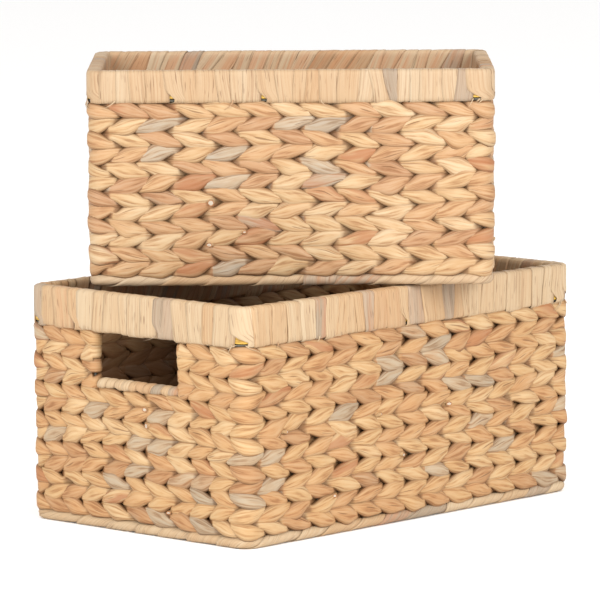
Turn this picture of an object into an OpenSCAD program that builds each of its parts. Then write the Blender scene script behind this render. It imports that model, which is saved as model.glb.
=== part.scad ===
// Two rectangular storage baskets, twined from flattened plant strands over a steel wire frame.
// The small basket stands crosswise on the rim of the large one and lifts off.
// Millimetres, +Z up. The origin is the centre of the large basket's underside.

/* [Large basket] */
// Outside length of the large basket
large_len = 420; // [360:5:470]
// Outside width of the large basket
large_wid = 260; // [240:5:310]
// Woven courses between the base border and the rim band
large_courses = 13; // [8:1:16]
// Bays between stakes along a long wall
large_long_bays = 14; // [10:1:18]
// Bays between a corner and the grip hole
large_side_bays = 3; // [2:1:4]
// Bays across the grip hole
large_grip_bays = 4; // [2:1:5]
// Clear width of the grip hole in each end wall
large_grip_wid = 93; // [70:1:110]
// Height of the wrapped rim band
large_rim_h = 35; // [26:1:40]

/* [Small basket] */
// Outside length of the small basket
small_len = 348; // [300:2:390]
// Outside width of the small basket
small_wid = 218; // [190:2:240]
// Woven courses between the base border and the rim band
small_courses = 12; // [8:1:16]
// Bays between stakes along a long wall
small_long_bays = 12; // [9:1:16]
// Bays between a corner and the grip hole
small_side_bays = 2; // [2:1:4]
// Bays across the grip hole
small_grip_bays = 3; // [2:1:5]
// Clear width of the grip hole in each end wall
small_grip_wid = 79; // [60:1:95]
// Height of the wrapped rim band
small_rim_h = 28.5; // [26:0.5:40]

/* [Weave] */
// Height of one twined course
course_h = 12.2; // [10:0.1:15]
// Thickness of one flattened strand
strand_t = 4.4; // [3:0.1:5.4]
// Courses that the grip hole cuts through
grip_courses = 4; // [3:1:6]
// Play between a strand and the wire that it passes
strand_play = 0.1; // [0.05:0.05:0.3]
// Play between one course and the next
course_play = 0.1; // [0.05:0.05:0.3]

/* [Wire frame] */
// Diameter of the stakes, the corner posts, the floor rods and the lower rim wire
stake_d = 2.6; // [2:0.1:3.2]
// Diameter of the base wire and the top rim wire
hoop_d = 4; // [3:0.1:5]
// Diameter of the rod below each grip hole
grip_rod_d = 3.4; // [3:0.1:4.5]
// Bend radius of the frame at its corners, on the middle of the wall
bend_r = 9; // [8:0.5:16]

/* [Wraps] */
// Thickness of the rim band
rim_t = 13; // [12.2:0.1:16]
// Thickness of the leaf wrap on the rim band
leaf_t = 1.2; // [0.8:0.1:1.6]
// Rounding of the rim band's edges
rim_round = 3; // [2:0.5:4]
// Diameter of the wrapped base border
border_d = 10; // [9:0.5:12]
// Diameter of the wrapped rod below a grip hole
grip_wrap_d = 10; // [8:0.5:11]
// Play between a wrap and what runs through its slot
wrap_play = 0.3; // [0.2:0.1:0.5]

/* [Stacking] */
// Turn of the small basket on the large one, in degrees
stack_turn = -46.8; // [-50:0.1:-40]
// Offset of the small basket's centre along the large basket
stack_x = 0; // [-10:1:10]
// Offset of the small basket's centre across the large basket
stack_y = 14; // [0:1:20]
// Air between the small basket's border and the large basket's rim
stack_gap = 0.3; // [0.1:0.1:0.5]

/* [Hidden] */
$fn = 48;
cut = 1;

// One basket's own sizes, in the order that the functions below read them.
large = [large_len, large_wid, large_courses, large_long_bays,
         large_side_bays, large_grip_bays, large_grip_wid, large_rim_h];
small = [small_len, small_wid, small_courses, small_long_bays,
         small_side_bays, small_grip_bays, small_grip_wid, small_rim_h];
function half_len(b) = (b[0] - rim_t) / 2;
function half_wid(b) = (b[1] - rim_t) / 2;
function courses(b) = b[2];
function long_bays(b) = b[3];
function side_bays(b) = b[4];
function grip_bays(b) = b[5];
function grip_half(b) = b[6] / 2;
function rim_h(b) = b[7];

// Heights, from the surface that the basket stands on.
base_z = border_d / 2;
stake_z = base_z + hoop_d / 2;
function course_z(i) = border_d + (i - 1) * course_h;
function rim_z(b) = course_z(courses(b) + 1);
function basket_h(b) = rim_z(b) + rim_h(b);
function top_wire_z(b) = basket_h(b) - leaf_t - hoop_d / 2;
function stake_top_z(b) = top_wire_z(b) - hoop_d / 2;
function grip_z(b) = course_z(courses(b) - grip_courses + 1) + grip_wrap_d / 2;

// Places across the wall, measured outwards from its middle.
strand_in = stake_d / 2 + strand_play;
strand_out = strand_in + strand_t;
low_wire_out = stake_d + strand_play / 2;
slot_w = stake_d + 2 * wrap_play;
function grip_stake(b) = grip_half(b) + strand_out;

// Stake places: along a long wall, beside a grip hole and below it.
function long_stakes(b) =
    [for (i = [1 : long_bays(b) - 1]) -half_len(b) + i * 2 * half_len(b) / long_bays(b)];
function side_stakes(b) =
    [for (i = [0 : side_bays(b) - 1])
        grip_stake(b) + i * (half_wid(b) - grip_stake(b)) / side_bays(b)];
function grip_stakes(b) =
    [for (i = [1 : grip_bays(b) - 1]) -grip_stake(b) + i * 2 * grip_stake(b) / grip_bays(b)];

function numbered(head, i) = str(head, i < 10 ? "0" : "", i);
BASKET_NODES = ["top_rim_wire", "low_rim_wire", "base_wire", "corner_posts", "wall_stakes",
                "floor_rods", "grip_rods", "rim_padding", "rim_wrap", "border_wrap",
                "grip_wraps", "floor_weave"];

// ---- Sweeps: the children are a flat section, x outwards from the wall's middle, y upwards ----

// Long wall at +Y, from x1 to x2.
module along_long(b, x1, x2) {
    translate([x1, half_wid(b), 0])
        rotate([90, 0, 90])
            linear_extrude(x2 - x1)
                children();
}

// End wall at +X, from y1 to y2.
module along_end(b, y1, y2) {
    translate([half_len(b), y2, 0])
        rotate([90, 0, 0])
            linear_extrude(y2 - y1)
                children();
}

// Corner at +X +Y.
module round_corner(b) {
    translate([half_len(b) - bend_r, half_wid(b) - bend_r, 0])
        rotate_extrude(angle = 90)
            translate([bend_r, 0])
                children();
}

// Corner at -X +Y.
module round_corner_left(b) {
    translate([-half_len(b) + bend_r, half_wid(b) - bend_r, 0])
        rotate(90)
            rotate_extrude(angle = 90)
                translate([bend_r, 0])
                    children();
}

// The whole way round the basket.
module around(b) {
    x = half_len(b) - bend_r;
    y = half_wid(b) - bend_r;
    for (turn = [0, 180])
        rotate(turn) {
            along_long(b, -x, x) children();
            along_end(b, -y, y) children();
            round_corner(b) children();
            round_corner_left(b) children();
        }
}

// From the grip hole in one end wall, round a long wall, to the grip hole in the other.
module around_half(b) {
    x = half_len(b) - bend_r;
    y = half_wid(b) - bend_r;
    along_long(b, -x, x) children();
    round_corner(b) children();
    round_corner_left(b) children();
    along_end(b, grip_stake(b), y) children();
    translate([-2 * half_len(b), 0, 0])
        along_end(b, grip_stake(b), y) mirror([1, 0]) children();
}

// Half a turn round the stake beside a grip hole.
module around_grip_stake(b) {
    for (side = [-1, 1])
        translate([side * half_len(b), grip_stake(b), 0])
            rotate(180)
                rotate_extrude(angle = 180)
                    children();
}

// ---- Flat sections ----

// A flattened strand with round edges, outside the stakes, in the course that starts at z.
module strand_section(z) {
    r = strand_t / 2;
    low = z + course_play / 2 + r;
    high = z + course_h - course_play / 2 - r;
    translate([strand_in, low]) square([strand_t, high - low]);
    translate([strand_in + r, low]) circle(r);
    translate([strand_in + r, high]) circle(r);
}

// The outer and the inner strand of a course.
module strand_pair_section(z) {
    strand_section(z);
    mirror([1, 0]) strand_section(z);
}

// A rectangle with round corners, centred on x and standing on y = 0.
module round_rect(w, h, r) {
    translate([-w / 2, r]) square([w, h - 2 * r]);
    translate([-w / 2 + r, 0]) square([w - 2 * r, h]);
    for (x = [-w / 2 + r, w / 2 - r], y = [r, h - r])
        translate([x, y]) circle(r);
}

// ---- Wire frame ----

module hoop(b, d, out, z) {
    color("#4a4f45")
        around(b)
            translate([out, z]) circle(d = d);
}

module top_rim_wire(b) {
    hoop(b, hoop_d, 0, top_wire_z(b));
}

// Welded on the outside of the stakes.
module low_rim_wire(b) {
    hoop(b, stake_d, low_wire_out, rim_z(b) + leaf_t + stake_d / 2);
}

module base_wire(b) {
    hoop(b, hoop_d, 0, base_z);
}

module upright(x, y, top) {
    translate([x, y, stake_z]) cylinder(d = stake_d, h = top - stake_z);
}

module corner_posts(b) {
    inset = bend_r * (1 - sqrt(0.5));
    color("#4a4f45")
        for (sx = [-1, 1], sy = [-1, 1])
            upright(sx * (half_len(b) - inset), sy * (half_wid(b) - inset), stake_top_z(b));
}

// Full stakes stop under the top rim wire, and those below a grip hole under its rod.
module wall_stakes(b) {
    color("#4a4f45")
        for (side = [-1, 1]) {
            for (x = long_stakes(b)) upright(x, side * half_wid(b), stake_top_z(b));
            for (y = side_stakes(b), sy = [-1, 1])
                upright(side * half_len(b), sy * y, stake_top_z(b));
            for (y = grip_stakes(b))
                upright(side * half_len(b), y, grip_z(b) - grip_rod_d / 2);
        }
}

module floor_rods(b) {
    reach = half_wid(b) - hoop_d / 2;
    color("#4a4f45")
        for (x = long_stakes(b))
            translate([x, -reach, base_z])
                rotate([-90, 0, 0])
                    cylinder(d = stake_d, h = 2 * reach);
}

// A rod across one grip hole's lower edge, between the stakes beside it.
module grip_bar(b, side, d, reach) {
    translate([side * half_len(b), -reach, grip_z(b)])
        rotate([-90, 0, 0])
            cylinder(d = d, h = 2 * reach);
}

module grip_rods(b) {
    color("#d8b23c")
        for (side = [-1, 1])
            grip_bar(b, side, grip_rod_d, grip_stake(b) - stake_d / 2);
}

// ---- Rim band ----

// Cane packing on both sides of the stakes, between the two rim wires.
module rim_padding(b) {
    inner_face = rim_t / 2 - leaf_t - wrap_play;
    low = rim_z(b) + leaf_t + stake_d + wrap_play;
    high = stake_top_z(b) - wrap_play;
    color("#d8b23c")
        around(b)
            for (side = [0, 1])
                mirror([side, 0])
                    translate([strand_in, low])
                        square([inner_face - strand_in, high - low]);
}

// Leaf strips wound round the band, open below where the stakes come up.
module rim_wrap(b) {
    color("#e3c08c")
        around(b)
            translate([0, rim_z(b)])
                difference() {
                    round_rect(rim_t, rim_h(b), rim_round);
                    translate([0, leaf_t])
                        round_rect(rim_t - 2 * leaf_t, rim_h(b) - 2 * leaf_t, rim_round - leaf_t);
                    translate([-slot_w / 2, -cut]) square([slot_w, leaf_t + 2 * cut]);
                }
}

// ---- Weave ----

// Strips wound round the base wire, open above and inside for the stakes and the floor rods.
module border_wrap(b) {
    color("#d9b481")
        around(b)
            translate([0, base_z])
                difference() {
                    circle(d = border_d);
                    circle(d = hoop_d + 2 * strand_play);
                    translate([-border_d, -slot_w / 2])
                        square([border_d + slot_w / 2, border_d]);
                }
}

// Strips wound round each grip rod, open below where the short stakes come up.
module grip_wraps(b) {
    reach = grip_half(b) - wrap_play;
    color("#d9b481")
        for (side = [-1, 1])
            translate([side * half_len(b), reach, grip_z(b)])
                rotate([90, 0, 0])
                    linear_extrude(2 * reach)
                        difference() {
                            circle(d = grip_wrap_d);
                            circle(d = grip_rod_d + 2 * strand_play);
                            translate([-slot_w / 2, -grip_wrap_d])
                                square([slot_w, grip_wrap_d]);
                        }
}

// A lower and an upper layer of strands, with the floor rods between them.
module floor_weave(b) {
    edge = border_d / 2 + wrap_play;
    w = 2 * (half_wid(b) - edge);
    layer_h = border_d / 2 - strand_in;
    color("#d9b481")
        for (z = [0, border_d - layer_h])
            translate([0, -w / 2, z])
                linear_extrude(layer_h)
                    round_rect(2 * (half_len(b) - edge), w, bend_r - edge);
}

// One twined course: an outer and an inner strand, cut by the grip holes near the rim.
module course(b, i) {
    z = course_z(i);
    first_cut = courses(b) - grip_courses + 1;
    color("#dfbb85")
        if (i < first_cut)
            around(b) strand_pair_section(z);
        else
            difference() {
                for (turn = [0, 180])
                    rotate(turn) {
                        around_half(b) strand_pair_section(z);
                        around_grip_stake(b) strand_section(z);
                    }
                if (i == first_cut)
                    for (side = [-1, 1])
                        grip_bar(b, side, grip_rod_d + 2 * strand_play, grip_stake(b));
            }
}

// ---- Assembly ----

// Draws one named piece of a basket.
module basket_piece(b, name) {
    if (name == "top_rim_wire") top_rim_wire(b);
    if (name == "low_rim_wire") low_rim_wire(b);
    if (name == "base_wire") base_wire(b);
    if (name == "corner_posts") corner_posts(b);
    if (name == "wall_stakes") wall_stakes(b);
    if (name == "floor_rods") floor_rods(b);
    if (name == "grip_rods") grip_rods(b);
    if (name == "rim_padding") rim_padding(b);
    if (name == "rim_wrap") rim_wrap(b);
    if (name == "border_wrap") border_wrap(b);
    if (name == "grip_wraps") grip_wraps(b);
    if (name == "floor_weave") floor_weave(b);
}

// Puts the small basket on the large one's rim.
module stacked() {
    translate([stack_x, stack_y, basket_h(large) + stack_gap])
        rotate(stack_turn)
            children();
}

for (name = BASKET_NODES) {
    basket_piece(large, name);
    stacked() basket_piece(small, name);
}
for (i = [1 : large_courses])
    course(large, i);
for (i = [1 : small_courses])
    stacked() course(small, i);
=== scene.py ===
# Two water hyacinth baskets, twined over a steel wire frame, the small one on the large one's rim.
import math

import bmesh
import bpy
import numpy as np
from mathutils import Matrix, Vector


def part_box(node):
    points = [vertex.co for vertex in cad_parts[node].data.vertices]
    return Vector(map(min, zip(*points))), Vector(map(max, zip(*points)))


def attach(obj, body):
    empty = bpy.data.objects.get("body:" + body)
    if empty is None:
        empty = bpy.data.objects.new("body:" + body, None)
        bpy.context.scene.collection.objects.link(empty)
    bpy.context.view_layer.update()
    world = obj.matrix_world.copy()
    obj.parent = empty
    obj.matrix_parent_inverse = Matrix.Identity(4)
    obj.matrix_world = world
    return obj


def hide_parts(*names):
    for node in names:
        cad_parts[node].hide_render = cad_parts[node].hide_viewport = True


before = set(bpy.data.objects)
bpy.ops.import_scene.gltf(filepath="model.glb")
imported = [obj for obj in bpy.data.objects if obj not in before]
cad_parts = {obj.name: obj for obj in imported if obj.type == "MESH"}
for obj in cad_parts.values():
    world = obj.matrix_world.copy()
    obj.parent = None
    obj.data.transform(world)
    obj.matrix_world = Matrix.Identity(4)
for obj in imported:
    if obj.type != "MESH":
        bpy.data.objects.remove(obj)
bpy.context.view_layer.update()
print("frame loaded:", len(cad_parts), "CAD nodes")
mm = 0.001
halfTurn = math.pi


cameraSettings = {
    "place": (-3.3134, -3.1016, 0.7541),
    "turn": -46.849,  # degrees, from looking along +Y
    "tilt": 7.214,  # degrees below level
    "roll": -0.337,
    "lens": 315.42,
    "sensor": 36.0,
}


def makeCamera(settings):
    data = bpy.data.cameras.new("productCamera")
    data.lens = settings["lens"]
    data.sensor_width = settings["sensor"]
    data.clip_end = 100
    camera = bpy.data.objects.new("productCamera", data)
    bpy.context.scene.collection.objects.link(camera)
    turned = Matrix.Rotation(math.radians(settings["turn"]), 4, "Z")
    tilted = Matrix.Rotation(math.radians(90 - settings["tilt"]), 4, "X")
    rolled = Matrix.Rotation(math.radians(settings["roll"]), 4, "Z")
    camera.matrix_world = Matrix.Translation(settings["place"]) @ turned @ tilted @ rolled
    bpy.context.scene.camera = camera


makeCamera(cameraSettings)


# Lengths in metres. Places across the wall are measured outwards from its middle.
wallSizes = {
    "bendRadius": 9 * mm,
    "hoopRadius": 2 * mm,
    "courseHeight": 12.2 * mm,
    "borderHeight": 10 * mm,
    "rimThickness": 13 * mm,
    "rimRounding": 3 * mm,
    "strandReach": 5.8 * mm,  # the strands' outer face
    "gripCourses": 4,
}
basketPlans = [
    {"name": "large", "body": "large_basket", "turn": 0.0, "courses": 13, "longBays": 14,
     "sideBays": 3, "gripBays": 4, "gripWidth": 93 * mm, "seed": 11},
    {"name": "small", "body": "small_basket", "turn": -46.8, "courses": 12, "longBays": 12,
     "sideBays": 2, "gripBays": 3, "gripWidth": 79 * mm, "seed": 29},
]


def nodePoints(node, back):
    flat = np.empty(len(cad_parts[node].data.vertices) * 3)
    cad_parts[node].data.vertices.foreach_get("co", flat)
    turn = np.array(back)
    return flat.reshape(-1, 3) @ turn[:3, :3].T + turn[:3, 3]


def surveyBasket(plan):
    low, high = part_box(plan["name"] + "_border_wrap")
    centre = (low + high) / 2
    plan["place"] = (Matrix.Translation((centre.x, centre.y, low.z))
                     @ Matrix.Rotation(math.radians(plan["turn"]), 4, "Z"))
    back = plan["place"].inverted()
    hoop = nodePoints(plan["name"] + "_top_rim_wire", back)
    rim = nodePoints(plan["name"] + "_rim_wrap", back)
    plan["halfLength"] = hoop[:, 0].max() - wallSizes["hoopRadius"]
    plan["halfWidth"] = hoop[:, 1].max() - wallSizes["hoopRadius"]
    plan["rimLow"] = rim[:, 2].min()
    plan["rimHigh"] = rim[:, 2].max()
    plan["gripHeight"] = (wallSizes["borderHeight"] + 5 * mm
                          + (plan["courses"] - wallSizes["gripCourses"]) * wallSizes["courseHeight"])
    plan["gripStake"] = plan["gripWidth"] / 2 + wallSizes["strandReach"]
    plan["stretches"] = wallStretches(plan)
    plan["around"] = sum(stretch["length"] for stretch in plan["stretches"])
    plan["stakes"] = stakeDistances(plan)
    return plan


def wallStretches(plan):
    # from the middle of the +X end wall, counterclockwise seen from above
    radius = wallSizes["bendRadius"]
    endHalf = plan["halfWidth"] - radius
    side = 2 * (plan["halfLength"] - radius)
    bend = radius * halfTurn / 2
    at = np.array([plan["halfLength"], 0.0])
    heading = halfTurn / 2
    start = 0.0
    stretches = []
    for length, turns in ((endHalf, 0), (bend, 1), (side, 0), (bend, 1), (2 * endHalf, 0),
                          (bend, 1), (side, 0), (bend, 1), (endHalf, 0)):
        stretches.append({"start": start, "length": length, "at": at, "heading": heading,
                          "curve": turns / radius})
        if turns:
            after = heading + halfTurn / 2
            at = at + radius * np.array([math.sin(after) - math.sin(heading),
                                         math.cos(heading) - math.cos(after)])
            heading = after
        else:
            at = at + length * np.array([math.cos(heading), math.sin(heading)])
        start += length
    return stretches


def wallPoint(plan, distance, out):
    # plan places at a distance along the wall's middle and out from it, with the outward directions
    distance = np.mod(distance, plan["around"])
    point = np.zeros(distance.shape + (2,))
    outward = np.zeros_like(point)
    for stretch in plan["stretches"]:
        end = stretch["start"] + stretch["length"] + 1e-9
        here = (distance >= stretch["start"]) & (distance <= end)
        along = distance[here] - stretch["start"]
        first = stretch["heading"]
        if stretch["curve"]:
            heading = first + along * stretch["curve"]
            step = np.stack([np.sin(heading) - math.sin(first),
                             math.cos(first) - np.cos(heading)], -1) / stretch["curve"]
        else:
            heading = np.full_like(along, first)
            step = along[:, None] * np.array([math.cos(first), math.sin(first)])
        point[here] = stretch["at"] + step
        outward[here] = np.stack([np.sin(heading), -np.cos(heading)], -1)
    return point + out[..., None] * outward, outward


def stakeDistances(plan):
    # where the stakes and corner posts stand, as distances along the wall
    radius = wallSizes["bendRadius"]
    endHalf = plan["halfWidth"] - radius
    side = 2 * (plan["halfLength"] - radius)
    bend = radius * halfTurn / 2
    grip = plan["gripStake"]
    ends = [-grip + i * 2 * grip / plan["gripBays"] for i in range(plan["gripBays"])]
    ends += [grip + i * (plan["halfWidth"] - grip) / plan["sideBays"] for i in range(plan["sideBays"])]
    longOnes = [i * 2 * plan["halfLength"] / plan["longBays"] - radius
                for i in range(1, plan["longBays"])]
    firstHalf = [y for y in ends if y > -1e-6]
    firstHalf += [endHalf + bend / 2]
    firstHalf += [endHalf + bend + x for x in longOnes]
    firstHalf += [endHalf + 1.5 * bend + side]
    firstHalf += [plan["around"] / 2 - y for y in reversed(ends) if y > 1e-6]
    return np.array(firstHalf + [s + plan["around"] / 2 for s in firstHalf])


baskets = [surveyBasket(plan) for plan in basketPlans]
print("baskets surveyed:", [len(basket["stakes"]) for basket in baskets], "stakes and posts")


def shade(hexColour):
    # sRGB hex to linear
    channels = [int(hexColour[i:i + 2], 16) / 255 for i in (1, 3, 5)]
    return [c / 12.92 if c <= 0.04045 else ((c + 0.055) / 1.055) ** 2.4 for c in channels] + [1.0]


def addNode(tree, kind, inputs=None, **settings):
    node = tree.nodes.new("ShaderNode" + kind)
    for name, value in settings.items():
        setattr(node, name, value)
    for socket, value in (inputs or {}).items():
        if isinstance(value, bpy.types.NodeSocket):
            tree.links.new(value, node.inputs[socket])
        else:
            node.inputs[socket].default_value = value
    return node


def newMaterial(name):
    material = bpy.data.materials.new(name)
    material.use_nodes = True
    tree = material.node_tree
    tree.nodes.clear()
    return material, tree


def finishMaterial(tree, colour, roughness, bump, specular=0.5, metallic=0.0):
    shader = addNode(tree, "BsdfPrincipled", {"Base Color": colour, "Roughness": roughness,
                                              "Specular IOR Level": specular, "Metallic": metallic})
    if bump is not None:
        tree.links.new(bump, shader.inputs["Normal"])
    output = addNode(tree, "OutputMaterial")
    tree.links.new(shader.outputs["BSDF"], output.inputs["Surface"])


def colourRamp(tree, factor, stops, interpolation="LINEAR"):
    ramp = addNode(tree, "ValToRGB", {"Fac": factor})
    ramp.color_ramp.interpolation = interpolation
    elements = ramp.color_ramp.elements
    elements[0].position, elements[0].color = stops[0][0], shade(stops[0][1])
    elements[1].position, elements[1].color = stops[-1][0], shade(stops[-1][1])
    for position, colour in stops[1:-1]:
        elements.new(position).color = shade(colour)
    return ramp.outputs["Color"]


stemSettings = {
    "tones": [(0.0, "#B79B75"), (0.22, "#B2936A"), (0.42, "#AD8860"), (0.56, "#A6825D"),
              (0.68, "#9D7854"), (0.8, "#A79379"), (1.0, "#9A8A74")],
    "rust": "#8E5634",
    # painted shade colour, for the slits and for faces marked as out of the light
    "paintedShadeColour": "#5C3A1E",
    "fibreWidth": 1.0 * mm,  # coarser than real fibres, so that they show
    "fibreLength": 22 * mm,
    "streakWidth": 4 * mm,
    "streakLength": 45 * mm,
    "slitWidth": 0.8 * mm,
    "slitLength": 34 * mm,
    "slitShare": 0.29,  # noise below this opens a slit
    "contrast": 0.72,
    "fibreHeight": 0.3 * mm,
}
leafSettings = {
    "tones": [(0.0, "#B29E82"), (0.25, "#AF9778"), (0.5, "#AC8F6D"), (0.66, "#A88765"),
              (0.78, "#A27D5E"), (0.86, "#A28D77"), (1.0, "#93836F")],
    "rust": "#A4693F",
    # painted shade colour, for the slits and for faces marked as out of the light
    "paintedShadeColour": "#694C33",
    "fibreWidth": 1.2 * mm,
    "fibreLength": 70 * mm,
    "streakWidth": 6 * mm,
    "streakLength": 80 * mm,
    "slitWidth": 1.3 * mm,
    "slitLength": 18 * mm,
    "slitShare": 0.31,
    "contrast": 0.4,
    "fibreHeight": 0.2 * mm,
}
paleStemSettings = dict(stemSettings, tones=[
    (0.0, "#B49C7C"), (0.22, "#AF9470"), (0.42, "#AA8966"), (0.56, "#A48363"),
    (0.68, "#9C795A"), (0.8, "#A3927C"), (1.0, "#968978")])
dullLeafSettings = dict(leafSettings, tones=[
    (0.0, "#AA967C"), (0.25, "#A78F72"), (0.5, "#A48868"), (0.66, "#A08060"),
    (0.78, "#9A7659"), (0.86, "#9A8671"), (1.0, "#8C7C6A")])


def driedPlantFibre(name, settings):
    # Dried water hyacinth, flattened: satin, with fine lines along the stem, streaks, slits where it
    # has split and the odd rusty patch; painted shade darkens the slits and the faces marked as out of
    # the light.
    material, tree = newMaterial(name)
    along = addNode(tree, "UVMap", uv_map="fibre").outputs["UV"]

    def stretchedNoise(length, width, detail):
        placed = addNode(tree, "Mapping", {"Vector": along,
                                           "Scale": (1 / length, 1 / width, 1)}).outputs["Vector"]
        return addNode(tree, "TexNoise", {"Vector": placed, "Scale": 1.0, "Detail": detail},
                       noise_dimensions="2D").outputs["Fac"]

    fibres = stretchedNoise(settings["fibreLength"], settings["fibreWidth"], 4.0)
    streaks = stretchedNoise(settings["streakLength"], settings["streakWidth"], 2.0)
    splits = stretchedNoise(settings["slitLength"], settings["slitWidth"], 1.0)
    tone = addNode(tree, "Attribute", attribute_name="tone").outputs["Fac"]
    rust = addNode(tree, "Attribute", attribute_name="rust").outputs["Fac"]
    paintedShade = addNode(tree, "Attribute", attribute_name="paintedShade").outputs["Fac"]
    shifted = addNode(tree, "MapRange", {"Value": streaks, "From Min": 0.25, "From Max": 0.75,
                                         "To Min": -0.08, "To Max": 0.08}).outputs["Result"]
    toned = addNode(tree, "Math", {0: tone, 1: shifted}, operation="ADD",
                    use_clamp=True).outputs["Value"]
    base = colourRamp(tree, toned, settings["tones"])
    lines = colourRamp(tree, fibres, [(0.3, "#BC9670"), (0.46, "#F1E2D0"), (0.66, "#FFFFFF")])
    lined = addNode(tree, "MixRGB", {"Fac": settings["contrast"], "Color1": base, "Color2": lines},
                    blend_type="MULTIPLY").outputs["Color"]
    patch = addNode(tree, "MapRange", {"Value": streaks, "From Min": 0.6,
                                       "From Max": 0.42}).outputs["Result"]
    rusty = addNode(tree, "Math", {0: rust, 1: patch}, operation="MULTIPLY").outputs["Value"]
    stained = addNode(tree, "MixRGB", {"Fac": rusty, "Color1": lined,
                                       "Color2": shade(settings["rust"])}).outputs["Color"]
    share = settings["slitShare"]
    slit = addNode(tree, "MapRange", {"Value": splits, "From Min": share, "From Max": share - 0.06,
                                      "To Max": 0.6}).outputs["Result"]
    # painted shade: the marked faces and the slits go towards a dark brown
    shadeMask = addNode(tree, "Math", {0: paintedShade, 1: slit}, operation="MAXIMUM").outputs["Value"]
    shadowed = addNode(tree, "MixRGB", {"Fac": shadeMask, "Color1": stained,
                                        "Color2": shade(settings["paintedShadeColour"])}).outputs["Color"]
    gloss = addNode(tree, "MapRange", {"Value": fibres, "From Min": 0.3, "From Max": 0.7,
                                       "To Min": 0.7, "To Max": 0.55}).outputs["Result"]
    raised = addNode(tree, "Math", {0: fibres, 1: streaks}, operation="ADD").outputs["Value"]
    height = addNode(tree, "Math", {0: raised, 1: slit}, operation="SUBTRACT").outputs["Value"]
    bump = addNode(tree, "Bump", {"Height": height, "Strength": 0.6,
                                  "Distance": settings["fibreHeight"]}).outputs["Normal"]
    finishMaterial(tree, shadowed, gloss, bump, specular=0.3)
    return material


wireSettings = {"paint": "#47443A", "worn": "#665C4A", "speckSize": 3 * mm}
caneSettings = {"light": "#C49A38", "dark": "#8F6A1E", "grain": 1.5 * mm}


def paintedSteelWire(settings):
    # Thin dark paint on drawn steel wire: smooth, a little scuffed.
    material, tree = newMaterial("paintedSteelWire")
    place = addNode(tree, "TexCoord").outputs["Object"]
    specks = addNode(tree, "TexNoise", {"Vector": place, "Scale": 1 / settings["speckSize"],
                                        "Detail": 4.0}).outputs["Fac"]
    colour = colourRamp(tree, specks, [(0.5, settings["paint"]), (0.7, settings["worn"])])
    gloss = addNode(tree, "MapRange", {"Value": specks, "To Min": 0.35,
                                       "To Max": 0.6}).outputs["Result"]
    bump = addNode(tree, "Bump", {"Height": specks, "Strength": 0.3,
                                  "Distance": 0.1 * mm}).outputs["Normal"]
    finishMaterial(tree, colour, gloss, bump)
    return material


def yellowCane(settings):
    # Split cane, dyed yellow: dry, with fine grain.
    material, tree = newMaterial("yellowCane")
    place = addNode(tree, "TexCoord").outputs["Object"]
    stretched = addNode(tree, "Mapping", {"Vector": place, "Scale": (0.15, 0.15, 1)}).outputs["Vector"]
    grain = addNode(tree, "TexNoise", {"Vector": stretched, "Scale": 1 / settings["grain"],
                                       "Detail": 3.0}).outputs["Fac"]
    colour = colourRamp(tree, grain, [(0.35, settings["dark"]), (0.6, settings["light"])])
    bump = addNode(tree, "Bump", {"Height": grain, "Strength": 0.4,
                                  "Distance": 0.2 * mm}).outputs["Normal"]
    finishMaterial(tree, colour, 0.55, bump)
    return material


def cutPith(settings):
    # The sponge inside a cut stem: nearly white, dull, full of small pores, with painted shade in the
    # pores.
    material, tree = newMaterial("cutHyacinthPith")
    place = addNode(tree, "TexCoord").outputs["Object"]
    pores = addNode(tree, "TexVoronoi", {"Vector": place,
                                         "Scale": 1 / settings["pore"]}).outputs["Distance"]
    # painted shade: darker in the pores
    colour = colourRamp(tree, pores, [(0.15, settings["poreShade"]), (0.5, settings["wall"])])
    bump = addNode(tree, "Bump", {"Height": pores, "Strength": 0.5,
                                  "Distance": 0.2 * mm}).outputs["Normal"]
    finishMaterial(tree, colour, 0.85, bump, specular=0.15)
    return material


def driedSkin(settings):
    # The stem's outer skin where it was cut: brown, dry, uneven.
    material, tree = newMaterial("driedStemSkin")
    place = addNode(tree, "TexCoord").outputs["Object"]
    uneven = addNode(tree, "TexNoise", {"Vector": place, "Scale": 1 / settings["pore"],
                                        "Detail": 2.0}).outputs["Fac"]
    colour = colourRamp(tree, uneven, [(0.35, settings["skin"]), (0.7, settings["paleSkin"])])
    bump = addNode(tree, "Bump", {"Height": uneven, "Strength": 0.4,
                                  "Distance": 0.1 * mm}).outputs["Normal"]
    finishMaterial(tree, colour, 0.7, bump, specular=0.2)
    return material


cutEndSettings = {"pore": 0.8 * mm, "poreShade": "#8A7762", "wall": "#B2A594", "skin": "#7A4A2C",
                  "paleSkin": "#A87C54"}
stemMaterials = {"large": driedPlantFibre("driedHyacinthStem", stemSettings),
                 "small": driedPlantFibre("driedHyacinthStemPale", paleStemSettings)}
leafMaterials = {"large": driedPlantFibre("driedHyacinthLeaf", leafSettings),
                 "small": driedPlantFibre("driedHyacinthLeafDull", dullLeafSettings)}
pithMaterial = cutPith(cutEndSettings)
skinMaterial = driedSkin(cutEndSettings)
wireMaterial = paintedSteelWire(wireSettings)
caneMaterial = yellowCane(caneSettings)
print("materials made")


def ringGrids(bm, runs):
    for run in runs:
        rows, columns = run["places"].shape[:2]
        bmesh.ops.create_grid(bm, x_segments=rows - 1, y_segments=columns - 1, size=0.5)


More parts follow.
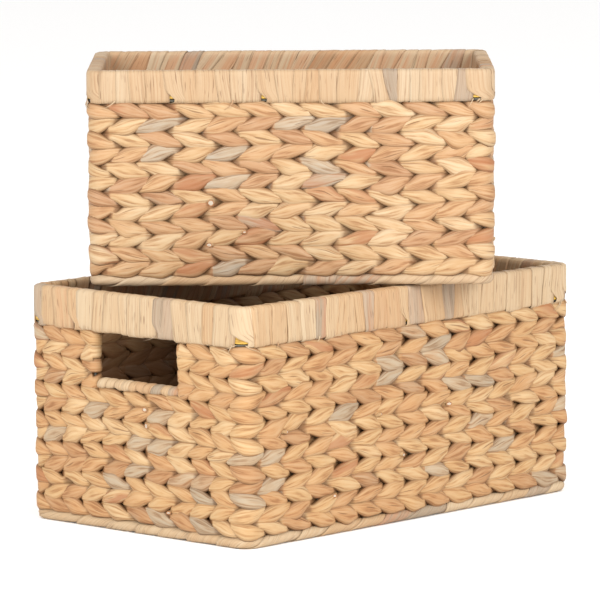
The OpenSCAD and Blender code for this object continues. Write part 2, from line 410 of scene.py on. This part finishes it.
def placeGrids(mesh, runs):
    # each grid's vertices go to their rings, and take the ring's map place and marks with them
    flat = np.empty(len(mesh.vertices) * 3)
    mesh.vertices.foreach_get("co", flat)
    flat = flat.reshape(-1, 3)
    start = 0
    fibre = np.zeros((len(flat), 2))
    marks = {name: np.zeros(len(flat)) for name in ("tone", "rust", "paintedShade")}
    for run in runs:
        rows, columns = run["places"].shape[:2]
        block = flat[start:start + rows * columns]
        low, high = block.min(0), block.max(0)
        row = np.rint((block[:, 0] - low[0]) / (high[0] - low[0]) * (rows - 1)).astype(int)
        column = np.rint((block[:, 1] - low[1]) / (high[1] - low[1]) * (columns - 1)).astype(int)
        flat[start:start + rows * columns] = run["places"][row, column]
        fibre[start:start + rows * columns] = run["fibre"][row, column]
        for name in marks:
            marks[name][start:start + rows * columns] = run[name][row, column]
        start += rows * columns
    mesh.vertices.foreach_set("co", flat.ravel())
    corners = np.empty(len(mesh.loops), np.int32)
    mesh.loops.foreach_get("vertex_index", corners)
    mesh.uv_layers.new(name="fibre").uv.foreach_set("vector", fibre[corners].ravel())
    for name, values in marks.items():
        mesh.attributes.new(name, "FLOAT", "POINT").data.foreach_set("value", values)


def makePiece(name, basket, runs, material, nodes, thickness=0.0):
    mesh = bpy.data.meshes.new(name)
    bm = bmesh.new()
    ringGrids(bm, runs)
    bm.to_mesh(mesh)
    bm.free()
    placeGrids(mesh, runs)
    bm = bmesh.new()
    bm.from_mesh(mesh)
    bmesh.ops.remove_doubles(bm, verts=bm.verts, dist=0.001 * mm)
    bmesh.ops.recalc_face_normals(bm, faces=bm.faces)
    bmesh.ops.transform(bm, matrix=basket["place"], verts=bm.verts)
    bm.to_mesh(mesh)
    bm.free()
    mesh.polygons.foreach_set("use_smooth", np.ones(len(mesh.polygons), bool))
    mesh.materials.append(material)
    piece = bpy.data.objects.new(name, mesh)
    bpy.context.scene.collection.objects.link(piece)
    if thickness:
        wall = piece.modifiers.new("wall", "SOLIDIFY")
        wall.thickness = thickness
        wall.offset = -1
    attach(piece, basket["body"])
    if nodes:
        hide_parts(*nodes)
    return piece


strandShape = {
    "ringsPerBay": 12,
    "sides": 18,
    "swing": 2.6 * mm,  # of the strand's middle, in and out of the wall
    "climb": 3.2 * mm,  # up and down, from one crossing to the next
    "straightness": 0.96,  # of the slant
    "diveAt": 0.64,  # bays after a stake, where a strand goes behind the other one
    "diveLength": 0.07,
    "lobeHeight": 6.4 * mm,  # half the strand, where it passes over a stake
    "neckHeight": 3.8 * mm,  # half the strand, where two strands cross
    "lobeAway": 3.2 * mm,  # its thickness on the side away from the stake
    "lobeToward": 1.2 * mm,  # and on the side that lies on the stake
    "neckDepth": 4.3 * mm,
    "fullness": 1.5,
    "squareness": 0.72,
    "foldDepth": 0.32 * mm,
    "loosePlace": 0.8 * mm,
    "looseOut": 0.5 * mm,
    "looseSize": 0.15,
    "loosePhase": 0.26,
    "unlike": 0.08,  # how much taller every other course is, as a share
    "folds": [(2, 0.5), (3, 0.6), (5, 0.35)],  # how many go round the strand, and how deep
    "foldDrift": 0.9,
    "mapWidth": 24 * mm,  # round the strand, on its map
    "buriedShade": 0.6,
    "edgeShade": 0.9,
    "insideShade": 0.85,
    "fadeDepth": 38 * mm,  # below the rim band, where the shade is full
    "cornerBulge": 0.8 * mm,
    "drift": 2.2 * mm,  # of whole courses, up and down along the wall
    "reddest": 0.68,  # how far along the tones a stem goes that isn't grey
    "toneSpread": 0.1,
    "rustyShare": 0.07,
    "greyShare": 0.08,
}


def smoothNoise(dice, knots, closed, samples, size=1.0):
    # one random value per knot, with straight stretches between them
    values = dice.normal(0, size, knots + 1)
    if closed:
        values[-1] = values[0]
    return np.interp(np.linspace(0, knots, samples), np.arange(knots + 1), values)


def strandRun(basket, dice, line, shape, sides):
    # line: the strand's middle, half sizes and marks, ring by ring, the last ring on the first
    centres = line["centres"]
    ahead = np.roll(centres[:-1], -1, 0) - np.roll(centres[:-1], 1, 0)
    ahead = np.vstack([ahead, ahead[:1]])
    ahead /= np.linalg.norm(ahead, axis=1)[:, None]
    up = np.array([0, 0, 1.0]) - ahead * ahead[:, 2:3]
    up /= np.linalg.norm(up, axis=1)[:, None]
    side = np.cross(ahead, up)
    rings = len(centres)
    angle = np.linspace(0, 2 * halfTurn, sides + 1)
    bays = max(4, rings // shape["ringsPerBay"])
    folds = np.zeros((rings, sides + 1))
    for count, share in shape["folds"]:
        drift = smoothNoise(dice, bays, True, rings, shape["foldDrift"])
        folds += share * np.cos(count * angle[None, :] + drift[:, None] + dice.uniform(0, 6))
    folds *= shape["foldDepth"]
    wide = np.sign(np.cos(angle)) * np.abs(np.cos(angle)) ** shape["squareness"]
    deep = np.sign(np.sin(angle)) * np.abs(np.sin(angle)) ** shape["squareness"]
    high = (line["height"][:, None] + folds) * wide
    # away: 1 where the side away from the stake is on the run's right, -1 where it is on its left
    onRight = deep[None, :] * line["away"][:, None] > 0
    lobeDepth = np.where(onRight, shape["lobeAway"], shape["lobeToward"])
    depth = shape["neckDepth"] + (lobeDepth - shape["neckDepth"]) * line["lobe"][:, None]
    thick = (depth + folds) * deep
    places = centres[:, None] + up[:, None] * high[..., None] + side[:, None] * thick[..., None]
    places[-1] = places[0]
    places[:, -1] = places[:, 0]
    step = np.linalg.norm(np.diff(centres, axis=0), axis=1)
    along = np.concatenate([[0], np.cumsum(step)]) + dice.uniform(0, 5)
    around = angle / (2 * halfTurn) * shape["mapWidth"]
    fibre = np.stack(np.broadcast_arrays(along[:, None], around[None, :]), -1)
    run = {"places": places, "fibre": fibre}
    for name in ("tone", "rust"):
        run[name] = np.repeat(line[name][:, None], sides + 1, 1)
    # painted shade: the face on the stake is darkened as if out of the light, and so are the folded
    # edges, as if in shadow
    buried = np.clip(-6 * line["away"][:, None] * deep - 1.2, 0, 1) * shape["buriedShade"]
    paintedShade = np.maximum(buried, np.abs(wide) ** 4.5 * shape["edgeShade"])
    if "rightOut" in line:
        # painted shade: low down inside, the faces are darkened as if out of the light
        inward = -(line["out"][:, None] + thick * line["rightOut"][:, None]) / shape["swing"]
        below = (basket["rimLow"] - centres[:, 2:3]) / shape["fadeDepth"]
        paintedShade = np.maximum(paintedShade, np.clip(inward, 0, 1) * np.clip(below, 0, 1) * shape["insideShade"])
    run["paintedShade"] = paintedShade
    return run


def stemTones(dice, count, shape):
    # a stem keeps its tone for a few bays, then the next one is laid in
    tones, rusts = [], []
    while len(tones) < count:
        length = dice.integers(1, 5)
        base = dice.beta(1.5, 2.0) * shape["reddest"]
        for i in range(length):
            own = base + dice.normal(0, shape["toneSpread"])
            if dice.random() < shape["greyShare"]:
                own = dice.uniform(0.8, 1.0)
            tones.append(float(np.clip(own, 0, 1)))
            rusts.append(dice.uniform(0.4, 0.75) if dice.random() < shape["rustyShare"] else 0.0)
    return np.array(tones[:count]), np.array(rusts[:count])


def twist(t, phase, lean, dice, shape, first, last, closed):
    # one of the two strands, from stake to stake: swings out at every other stake and in between
    bays = int(round(last - first))
    angle = halfTurn * (t - first) + phase
    angle = angle + smoothNoise(dice, bays, closed, len(t)) * shape["loosePhase"]
    swingOut, climbUp = np.cos(angle), np.sin(angle)
    lobe = np.abs(swingOut) ** shape["fullness"]
    loose = [smoothNoise(dice, bays, closed, len(t)) for i in range(3)]
    out = shape["swing"] * swingOut + loose[2] * shape["looseOut"] * lobe
    # a straight slant in front and behind, turned back where the two strands cross
    slant = np.arcsin(shape["straightness"] * climbUp) / math.asin(shape["straightness"])
    moved = loose[0] * shape["loosePlace"] * lobe
    z = -lean * shape["climb"] * slant + moved
    height = shape["neckHeight"] + (shape["lobeHeight"] - shape["neckHeight"]) * lobe
    taller = shape["unlike"] if lean < 0 else 0
    height = height * (1 + taller + shape["looseSize"] * np.abs(loose[1])) + np.abs(moved)
    tones, rusts = stemTones(dice, bays // 2 + 2, shape)
    # the tone changes while the strand dives behind the other one
    place = (angle / halfTurn + shape["diveAt"]) / 2
    segment = np.floor(place).astype(int)
    mix = np.clip((place - segment) / shape["diveLength"], 0, 1)
    before, after = (segment - 1) % (bays // 2), segment % (bays // 2)
    return {"out": out, "z": z, "height": height, "lobe": lobe, "away": swingOut,
            "rightOut": np.ones(len(t)),
            "tone": tones[before] * (1 - mix) + tones[after] * mix,
            "rust": rusts[before] * (1 - mix) + rusts[after] * mix}


def cornerBulge(basket, distance, lean, size):
    # every other course stands out a little where it turns the corner
    bulge = np.zeros(len(distance))
    for stretch in basket["stretches"]:
        if stretch["curve"]:
            beyond = distance % basket["around"] - stretch["start"] - stretch["length"] / 2
            bulge += size * lean * np.exp(-(beyond / wallSizes["bendRadius"]) ** 2)
    return bulge


def courseDrift(basket, distance, z, size):
    # neighbouring courses wander together, and come straight at the border and the rim band
    low, high = wallSizes["borderHeight"], basket["rimLow"]
    free = math.sin(halfTurn * (z - low) / (high - low)) ** 0.6
    turn = 2 * halfTurn * distance / basket["around"]
    # five waves round the basket and nine smaller ones, which shift from course to course
    waves = np.sin(5 * turn + basket["seed"]) + 0.8 * np.sin(9 * turn + 2.1 * basket["seed"] + 40 * z)
    return z + size * free * waves / 1.5


def fullCourse(basket, z, lean, dice, shape):
    # two closed strands that change sides at every stake
    stakes = basket["stakes"]
    bays = len(stakes)
    t = np.linspace(0, bays, bays * shape["ringsPerBay"] + 1)
    knots = np.append(stakes, stakes[0] + basket["around"])
    distance = np.interp(t, np.arange(bays + 1), knots)
    runs = []
    for phase in (0, halfTurn):
        line = twist(t, phase, lean, dice, shape, 0, bays, True)
        line["out"] = line["out"] + cornerBulge(basket, distance, lean, shape["cornerBulge"])
        plan, outward = wallPoint(basket, distance, line["out"])
        height = courseDrift(basket, distance, z, shape["drift"])
        line["centres"] = np.column_stack([plan, height + line["z"]])
        line["centres"][-1] = line["centres"][0]
        runs.append(strandRun(basket, dice, line, shape, shape["sides"]))
    return runs


def halfCourse(basket, z, lean, dice, shape, turn):
    # one closed loop, turned back round the stakes beside the grip holes
    stakes = basket["stakes"]
    grip = basket["gripStake"]
    first = int(np.argmin(np.abs(stakes - grip)))
    last = int(np.argmin(np.abs(stakes - (basket["around"] / 2 - grip))))
    bays = last - first
    t = np.linspace(first, last, bays * shape["ringsPerBay"] + 1)
    distance = np.interp(t, np.arange(len(stakes)), stakes) + turn * basket["around"] / 2
    there = twist(t, 0, lean, dice, shape, first, last, False)
    back = twist(t, halfTurn, lean, dice, shape, first, last, False)
    bend = np.linspace(0, halfTurn, 9)[1:-1]
    parts = [dict(there, distance=distance)]
    for which, line, end, way in ((0, back, -1, 1), (1, there, 0, -1)):
        other = there if which == 0 else back
        start, stop = other["out"][end], line["out"][end]
        mix = (1 - np.cos(bend)) / 2
        turnPart = {"out": start + (stop - start) * mix,
                    "distance": distance[end] + way * shape["swing"] * np.sin(bend),
                    "z": other["z"][end] * (1 - mix) + line["z"][end] * mix,
                    "height": np.full(len(bend), shape["lobeHeight"] * 0.96),
                    "lobe": np.ones(len(bend)),
                    "away": np.full(len(bend), way * np.sign(start)),
                    "rightOut": np.zeros(len(bend)),
                    "tone": np.full(len(bend), other["tone"][end]),
                    "rust": np.full(len(bend), other["rust"][end])}
        parts.append(turnPart)
        if which == 0:
            parts.append({key: value[::-1] for key, value in
                          dict(back, distance=distance, away=-back["away"],
                               rightOut=-back["rightOut"]).items()})
    line = {key: np.concatenate([part[key] for part in parts]) for key in parts[0]}
    line = {key: np.append(value, value[0]) for key, value in line.items()}
    line["out"] = line["out"] + cornerBulge(basket, line["distance"], lean, shape["cornerBulge"])
    plan, outward = wallPoint(basket, line["distance"], line["out"])
    height = courseDrift(basket, line["distance"], z, shape["drift"])
    line["centres"] = np.column_stack([plan, height + line["z"]])
    return [strandRun(basket, dice, line, shape, shape["sides"])]


def makeCourses(basket, shape):
    dice = np.random.default_rng(basket["seed"])
    for course in range(1, basket["courses"] + 1):
        z = wallSizes["borderHeight"] + (course - 0.5) * wallSizes["courseHeight"]
        lean = 1 if (basket["courses"] - course) % 2 == 0 else -1
        if course <= basket["courses"] - wallSizes["gripCourses"]:
            runs = fullCourse(basket, z, lean, dice, shape)
        else:
            runs = halfCourse(basket, z, lean, dice, shape, 0)
            runs += halfCourse(basket, z, lean, dice, shape, 1)
        name = "%s_course_%02d" % (basket["name"], course)
        makePiece(name.replace("_course_", "_twined_course_"), basket, runs,
                  stemMaterials[basket["name"]], [name])


rimWrapShape = {
    "pitch": 14 * mm,  # mean advance of one turn; each turn has its own
    "uneven": 0.4,  # how much the advance differs, as a share
    "overlap": 3.4 * mm,  # past each neighbour
    "lift": 0.6 * mm,  # of the edge that lies on the turn before
    "crown": 0.15 * mm, "sink": 0.9 * mm, "rings": 26, "across": 8, "wall": 0.35 * mm,
    "lean": 1.6 * mm, "ripple": 0.16 * mm, "inside": 1.0,
    "gapShare": 0.1,  # of the turns that leave a gap near the lower edge; every corner has one
    "gap": 9.5 * mm, "bendGap": 1.3, "hem": 1.1 * mm,
}
borderWrapShape = {
    "pitch": 34 * mm, "uneven": 0.35, "overlap": 4 * mm, "lift": 0.8 * mm, "crown": 0.3 * mm,
    "sink": 1.0 * mm, "rings": 24, "across": 10, "wall": 0.35 * mm, "lean": 2.5 * mm,
    "ripple": 0.14 * mm, "inside": 0.0, "gapShare": 0.0, "gap": 0.0, "bendGap": 0, "hem": 0.0,
}
gripWrapShape = {
    "pitch": 9.5 * mm, "uneven": 0.3, "overlap": 1.6 * mm, "lift": 0.9 * mm, "crown": 1.0 * mm,
    "sink": 1.3 * mm, "rings": 16, "across": 6, "wall": 0.35 * mm, "lean": 0.9 * mm,
    "ripple": 0.12 * mm, "inside": 0.0, "gapShare": 0.2, "gap": 5 * mm,
    "bendGap": 0, "hem": 0.0,
}


def roundOutline(width, height, radius, low, count=400):
    # from the middle of the underside, up the outer face, over the top and down the inner face
    right, top = width / 2 - radius, height - radius
    corners = [(right, radius, -halfTurn / 2), (right, top, 0),
               (-right, top, halfTurn / 2), (-right, radius, halfTurn)]
    points, normals = [(0, 0)], [(0, -1)]
    for x, y, first in corners:
        for angle in np.linspace(first, first + halfTurn / 2, 12):
            normals.append((math.cos(angle), math.sin(angle)))
            points.append((x + radius * normals[-1][0], y + radius * normals[-1][1]))
    points.append((0, 0))
    normals.append((0, -1))
    points, normals = np.array(points), np.array(normals)
    reach = np.concatenate([[0], np.cumsum(np.linalg.norm(np.diff(points, axis=0), axis=1))])
    even = np.linspace(0, reach[-1], count)
    outline = {"place": np.stack([np.interp(even, reach, points[:, i]) for i in (0, 1)], -1),
               "normal": np.stack([np.interp(even, reach, normals[:, i]) for i in (0, 1)], -1),
               "length": reach[-1]}
    outline["place"][:, 1] += low
    return outline


def woundStrip(basket, dice, outline, shape, start, length, closed):
    # a flat strip wound round an outline, each turn with its own width
    turns = max(1, int(round(length / shape["pitch"])))
    widths = 1 + shape["uneven"] * dice.uniform(-1, 1, turns)
    widths *= length / widths.sum()
    edges = np.concatenate([[0], np.cumsum(widths)])
    rings = turns * shape["rings"] + 1
    total = np.linspace(0, turns, rings)
    whole = np.minimum(np.floor(total), turns - 1).astype(int)
    share = total - whole
    # a turn's share runs from the middle of the underside up the outer face, and down the inner one
    onInside = np.clip((share - 0.54) / 0.38, 0, 1)
    moved = shape["inside"] * onInside + (1 - shape["inside"]) * share
    nextOne = (whole + 1) % turns if closed else np.minimum(whole + 1, turns - 1)
    nextEdge = np.where(whole + 1 < turns, edges[np.minimum(whole + 1, turns - 1)], length)
    nextMiddle = nextEdge + widths[nextOne] / 2
    middle = (edges[whole] + widths[whole] / 2) * (1 - moved) + nextMiddle * moved
    half = (widths[whole] * (1 - moved) + widths[nextOne] * moved) / 2 + shape["overlap"]
    half = half * (1 - 0.1 * np.abs(smoothNoise(dice, turns * 2, closed, rings)))
    bends = np.array([stretch["start"] for stretch in basket["stretches"] if stretch["curve"]])
    atBend = np.abs(start + edges[:-1, None] - bends[None, :]).min(1) < wallSizes["bendRadius"] + 3 * mm
    gaps = np.where(dice.random(turns) < shape["gapShare"], shape["gap"], 0.0)
    gaps *= dice.uniform(0.7, 1, turns)
    gaps = np.where(atBend, shape["gap"] * shape["bendGap"], gaps)
    # only the covered edge draws back, near the lower edge
    drawn = gaps[whole] * np.clip(1 - np.abs(share - 0.1) / 0.1, 0, 1) / 2
    half = half - drawn
    middle = middle + drawn
    tilt = smoothNoise(dice, turns, closed, rings, shape["lean"]) * np.cos(2 * halfTurn * share)
    wander = smoothNoise(dice, turns * 2, closed, rings, 0.5 * mm)
    across = np.linspace(-1, 1, shape["across"] + 1)
    distance = start + (middle + tilt + wander)[:, None] + across[None, :] * half[:, None]
    ripples = np.stack([smoothNoise(dice, turns, closed, rings, shape["ripple"]) for i in across], -1)
    raised = (shape["lift"] * (1 - across[None, :]) / 2 + shape["crown"] * (1 - across[None, :] ** 2)
              + ripples - shape["sink"])
    spot = np.linspace(0, 1, len(outline["place"]))
    place = np.stack([np.interp(share, spot, outline["place"][:, i]) for i in (0, 1)], -1)
    normal = np.stack([np.interp(share, spot, outline["normal"][:, i]) for i in (0, 1)], -1)
    out = place[:, None, 0] + normal[:, None, 0] * raised
    # the lower edge hangs unevenly
    hang = np.abs(smoothNoise(dice, turns * 2, closed, rings, shape["hem"]))
    hang = hang * np.exp(-(np.minimum(share, 1 - share) / 0.09) ** 2)
    z = np.maximum(place[:, None, 1] + normal[:, None, 1] * raised - hang[:, None], 0.1 * mm)
    plan, outward = wallPoint(basket, distance, out)
    places = np.concatenate([plan, z[..., None]], -1)
    if closed:
        places[-1] = places[0]
    tones, rusts = leafTones(dice, turns, leafMix)
    along = total * outline["length"] + dice.uniform(0, 5)
    fibre = np.stack(np.broadcast_arrays(along[:, None], across[None, :] * half[:, None]), -1)
    # painted shade: the edge that goes under the next turn is darkened, by an amount that changes along
    # it, and the inner faces are darkened by a random amount per turn
    overlapShadeAmount = np.clip(0.25 + 0.5 * np.abs(smoothNoise(dice, turns * 4, closed, rings)), 0, 1)
    overlapShade = np.clip((across - 0.62) / 0.38, 0, 1)[None, :] * overlapShadeAmount[:, None]
    darker = np.abs(dice.normal(0, shape["inside"] * 0.07, turns))[whole] * np.clip(onInside * 3, 0, 1)
    rust = np.maximum(rusts[whole], shape["inside"] * 0.45 * np.clip(onInside * 3, 0, 1))
    return {"places": places, "fibre": fibre,
            "tone": np.repeat(tones[whole][:, None], len(across), 1),
            "rust": np.repeat(rust[:, None], len(across), 1),
            "paintedShade": np.maximum(overlapShade, darker[:, None])}


leafMix = {"reddest": 0.68, "toneSpread": 0.07, "greyShare": 0.11, "rustyShare": 0.04}


def leafTones(dice, count, mix):
    # a leaf keeps its tone for a few turns, then the next one is laid in
    tones, rusts = [], []
    while len(tones) < count:
        base = dice.beta(1.8, 2.4) * mix["reddest"]
        for i in range(dice.integers(1, 5)):
            own = base + dice.normal(0, mix["toneSpread"])
            if dice.random() < mix["greyShare"]:
                own = dice.uniform(0.82, 1.0)
            tones.append(float(np.clip(own, 0, 1)))
            rusts.append(dice.uniform(0.2, 0.4) if dice.random() < mix["rustyShare"] else 0.0)
    return np.array(tones[:count]), np.array(rusts[:count])


def makeWraps(basket):
    dice = np.random.default_rng(basket["seed"] + 100)
    name = basket["name"]
    band = roundOutline(wallSizes["rimThickness"], basket["rimHigh"] - basket["rimLow"],
                        wallSizes["rimRounding"], basket["rimLow"])
    rim = woundStrip(basket, dice, band, rimWrapShape, 0, basket["around"], True)
    makePiece(name + "_wound_rim", basket, [rim], leafMaterials[name],
              [name + "_rim_wrap"], rimWrapShape["wall"])
    border = wallSizes["borderHeight"]
    tube = roundOutline(border, border, border / 2, 0)
    base = woundStrip(basket, dice, tube, borderWrapShape, 0, basket["around"], True)
    makePiece(name + "_wound_border", basket, [base], leafMaterials[name],
              [name + "_border_wrap"], borderWrapShape["wall"])
    rod = roundOutline(border, border, border / 2, basket["gripHeight"] - border / 2)
    half = basket["gripWidth"] / 2
    grips = [woundStrip(basket, dice, rod, gripWrapShape, side - half, 2 * half, False)
             for side in (0, basket["around"] / 2)]
    makePiece(name + "_wound_grips", basket, grips, leafMaterials[name],
              [name + "_grip_wraps"], gripWrapShape["wall"])


floorShape = dict(strandShape, ringsPerBay=8, sides=12, swing=2.4 * mm, lobeAway=2.4 * mm,
                  lobeToward=1.0 * mm, neckDepth=3.2 * mm, foldDepth=0.2 * mm, pressed=0.3 * mm)


def makeFloor(basket, shape):
    # rows of twined strand along the basket, over and under the floor rods
    dice = np.random.default_rng(basket["seed"] + 200)
    border = wallSizes["borderHeight"]
    wide = 2 * (basket["halfWidth"] - border / 2)
    rows = int(round(wide / wallSizes["courseHeight"]))
    rowHeight = wide / rows
    rods = [-basket["halfLength"] + i * 2 * basket["halfLength"] / basket["longBays"]
            for i in range(1, basket["longBays"])]
    end = basket["halfLength"] - 0.75 * border
    knots = np.array([-end] + rods + [end])
    bays = len(knots) - 1
    t = np.linspace(0, bays, bays * shape["ringsPerBay"] + 1)
    x = np.interp(t, np.arange(bays + 1), knots)
    bend = np.linspace(0, halfTurn, 7)[1:-1]
    runs = []
    for row in range(rows):
        lean = 1 if row % 2 else -1
        there = twist(t, 0, lean, dice, shape, 0, bays, False)
        back = twist(t, halfTurn, lean, dice, shape, 0, bays, False)
        mix = (1 - np.cos(bend)) / 2
        there.pop("rightOut")
        back.pop("rightOut")
        parts = [dict(there, x=x, away=-there["away"])]
        for source, target, at, way in ((there, back, -1, 1), (back, there, 0, -1)):
            parts.append({"out": source["out"][at] * (1 - mix) + target["out"][at] * mix,
                          "x": x[at] + way * shape["swing"] * np.sin(bend),
                          "z": source["z"][at] * (1 - mix) + target["z"][at] * mix,
                          "height": np.full(len(bend), shape["lobeHeight"] * 0.95),
                          "lobe": np.ones(len(bend)),
                          "away": np.full(len(bend), -way * np.sign(source["out"][at])),
                          "tone": np.full(len(bend), source["tone"][at]),
                          "rust": np.full(len(bend), source["rust"][at])})
            if way == 1:
                parts.append({key: value[::-1] for key, value in dict(back, x=x).items()})
        line = {key: np.concatenate([part[key] for part in parts]) for key in parts[0]}
        line = {key: np.append(value, value[0]) for key, value in line.items()}
        line["centres"] = np.column_stack([line["x"], line["out"], line["z"]])
        run = strandRun(basket, dice, line, shape, shape["sides"])
        y = -wide / 2 + (row + 0.5) * rowHeight
        laid = run["places"][..., [0, 2, 1]]  # the wall laid flat: out becomes up
        laid = laid + np.array([0, y, border / 2])
        # pressed flat where the basket stands on it
        laid[..., 2] = np.maximum(laid[..., 2], shape["pressed"])
        run["places"] = laid
        runs.append(run)
    makePiece(basket["name"] + "_twined_floor", basket, runs, stemMaterials[basket["name"]],
              [basket["name"] + "_floor_weave"])


stemEndShape = {
    "count": 20, "thinnest": 1.9 * mm, "thickest": 3.0 * mm, "length": 9 * mm, "skin": 0.8 * mm,
    "stickOut": 1.3 * mm, "tilt": 0.7, "sides": 14, "fromCorner": 28 * mm,
    "strayAlong": 1.5 * mm, "strayUp": 0.8 * mm, "strayTilt": 0.15,
}


def makeStemEnds(basket, shape):
    # cut ends of spliced stems, poking out where two courses meet
    dice = np.random.default_rng(basket["seed"] + 300)
    mesh = bpy.data.meshes.new(basket["name"] + "_cut_stem_ends")
    bm = bmesh.new()
    bays = len(basket["stakes"])
    for i in range(shape["count"]):
        knot = dice.integers(0, bays - 1)
        row = dice.integers(1, basket["courses"] - wallSizes["gripCourses"])
        distance = (basket["stakes"][knot] + basket["stakes"][knot + 1]) / 2
        distance += dice.normal(0, shape["strayAlong"])
        fromCorner = min(abs(distance - stretch["start"]) for stretch in basket["stretches"])
        if fromCorner < shape["fromCorner"]:
            continue
        out = wallSizes["strandReach"] + shape["stickOut"] * dice.uniform(0, 1)
        plan, outward = wallPoint(basket, np.array([distance]), np.array([out]))
        z = wallSizes["borderHeight"] + row * wallSizes["courseHeight"]
        z += dice.normal(0, shape["strayUp"])
        along = Vector((-outward[0, 1], outward[0, 0], 0)) * dice.choice([-1, 1])
        points = (Vector((*outward[0], 0)) + along * dice.uniform(0.1, shape["tilt"])
                  + Vector((0, 0, dice.normal(0, shape["strayTilt"])))).normalized()
        radius = dice.uniform(shape["thinnest"], shape["thickest"])
        stands = (Matrix.Translation(Vector((*plan[0], z)) - points * shape["length"] / 2)
                  @ points.to_track_quat("Z", "Y").to_matrix().to_4x4()
                  @ Matrix.Diagonal((1, dice.uniform(0.6, 1), 1, 1)))
        new = bmesh.ops.create_cone(bm, cap_ends=True, segments=shape["sides"], radius1=radius * 0.8,
                                    radius2=radius, depth=shape["length"],
                                    matrix=basket["place"] @ stands)
        facing = basket["place"].to_3x3() @ points
        top = [face for face in {f for v in new["verts"] for f in v.link_faces}
               if len(face.verts) == shape["sides"] and face.normal.dot(facing) > 0.9]
        ring = bmesh.ops.inset_individual(bm, faces=top, thickness=shape["skin"])["faces"]
        for face in ring:
            face.material_index = 2
        for face in top:
            face.material_index = 1
    bmesh.ops.recalc_face_normals(bm, faces=bm.faces)
    bm.to_mesh(mesh)
    bm.free()
    mesh.uv_layers.new(name="fibre")
    for material in (stemMaterials[basket["name"]], pithMaterial, skinMaterial):
        mesh.materials.append(material)
    piece = bpy.data.objects.new(mesh.name, mesh)
    bpy.context.scene.collection.objects.link(piece)
    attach(piece, basket["body"])


fraySettings = {
    "count": 20, "width": 0.6 * mm, "shortest": 4 * mm, "longest": 12 * mm, "wall": 0.2 * mm,
    "lift": 1.2 * mm, "spread": 5 * mm, "cornerShare": 0.7, "slant": 0.55, "curl": 0.6,
}


def makeFrays(basket, settings):
    # slivers of leaf that have come loose below the rim band
    dice = np.random.default_rng(basket["seed"] + 400)
    runs = []
    share = np.linspace(0, 1, 12)
    across = np.linspace(-1, 1, 3)
    bends = [stretch["start"] for stretch in basket["stretches"] if stretch["curve"]]
    for i in range(settings["count"]):
        # most of them hang beside the gaps at the corners
        place = dice.uniform(0, basket["around"])
        if dice.random() < settings["cornerShare"]:
            place = bends[i % len(bends)] + dice.normal(0, settings["spread"])
        length = dice.uniform(settings["shortest"], settings["longest"])
        way = dice.normal(0, settings["slant"])
        width = settings["width"] * dice.uniform(0.5, 1.4) * (1 - 0.85 * share ** 2)
        bend = dice.normal(0, settings["curl"])
        distance = (place + length * (way * share + bend * share ** 2)[:, None]
                    + across[None, :] * width[:, None])
        out = (wallSizes["rimThickness"] / 2 - 0.4 * mm
               + settings["lift"] * np.sin(halfTurn * share * dice.uniform(0.5, 1)) ** 2)
        out = np.repeat(out[:, None], 3, 1)
        down = basket["rimLow"] + 3 * mm - 0.75 * length * share
        plan, outward = wallPoint(basket, distance, out)
        places = np.concatenate([plan, np.repeat(down[:, None], 3, 1)[..., None]], -1)
        fibre = np.stack(np.broadcast_arrays((share * length)[:, None],
                                             across[None, :] * settings["width"]), -1)
        tone = dice.choice([0.0, 0.1, 0.7, 0.9], p=[0.4, 0.3, 0.2, 0.1])
        blank = np.zeros((12, 3))
        runs.append({"places": places, "fibre": fibre, "tone": blank + tone, "rust": blank,
                     "paintedShade": blank})
    makePiece(basket["name"] + "_frayed_slivers", basket, runs, leafMaterials[basket["name"]],
              [], settings["wall"])


for basket in baskets:
    makeCourses(basket, strandShape)
    print(basket["name"], "courses twined")
    makeWraps(basket)
    makeFloor(basket, floorShape)
    makeStemEnds(basket, stemEndShape)
    makeFrays(basket, fraySettings)
    print(basket["name"], "wraps and floor made")


for name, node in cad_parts.items():
    if node.hide_render:
        continue
    plain = caneMaterial if ("grip_rods" in name or "rim_padding" in name) else wireMaterial
    for i in range(len(node.material_slots)):
        node.material_slots[i].material = plain
print("frame finished")


studio = {
    "floor": "#FAF9F8",
    "floorSize": 60.0,
    "skyStrength": 1.0,
    "power": 90.0,
    "size": 2.0,
    "aim": (0, 0, 0.2),
    "softboxes": [(-3.0, -0.35, 1.7), (-0.35, -3.0, 1.7)],
}


def makeStudio(settings):
    material, tree = newMaterial("palePaper")
    place = addNode(tree, "TexCoord").outputs["Object"]
    tooth = addNode(tree, "TexNoise", {"Vector": place, "Scale": 400.0, "Detail": 2.0}).outputs["Fac"]
    bump = addNode(tree, "Bump", {"Height": tooth, "Strength": 0.05,
                                  "Distance": 0.1 * mm}).outputs["Normal"]
    finishMaterial(tree, shade(settings["floor"]), 0.9, bump, specular=0.1)
    mesh = bpy.data.meshes.new("studioFloor")
    bm = bmesh.new()
    bmesh.ops.create_grid(bm, x_segments=1, y_segments=1, size=settings["floorSize"] / 2)
    bm.to_mesh(mesh)
    bm.free()
    mesh.materials.append(material)
    floor = bpy.data.objects.new("studioFloor", mesh)
    bpy.context.scene.collection.objects.link(floor)
    world = bpy.data.worlds.new("studioSky")
    world.use_nodes = True
    background = world.node_tree.nodes["Background"]
    background.inputs["Color"].default_value = (1, 1, 1, 1)
    background.inputs["Strength"].default_value = settings["skyStrength"]
    bpy.context.scene.world = world
    for place in settings["softboxes"]:
        light = bpy.data.lights.new("softbox", "AREA")
        light.energy = settings["power"]
        light.size = settings["size"]
        softbox = bpy.data.objects.new("softbox", light)
        bpy.context.scene.collection.objects.link(softbox)
        softbox.location = place
        towards = Vector(settings["aim"]) - Vector(place)
        softbox.rotation_euler = towards.to_track_quat("-Z", "Y").to_euler()
    bpy.context.scene.view_settings.view_transform = "Standard"


makeStudio(studio)
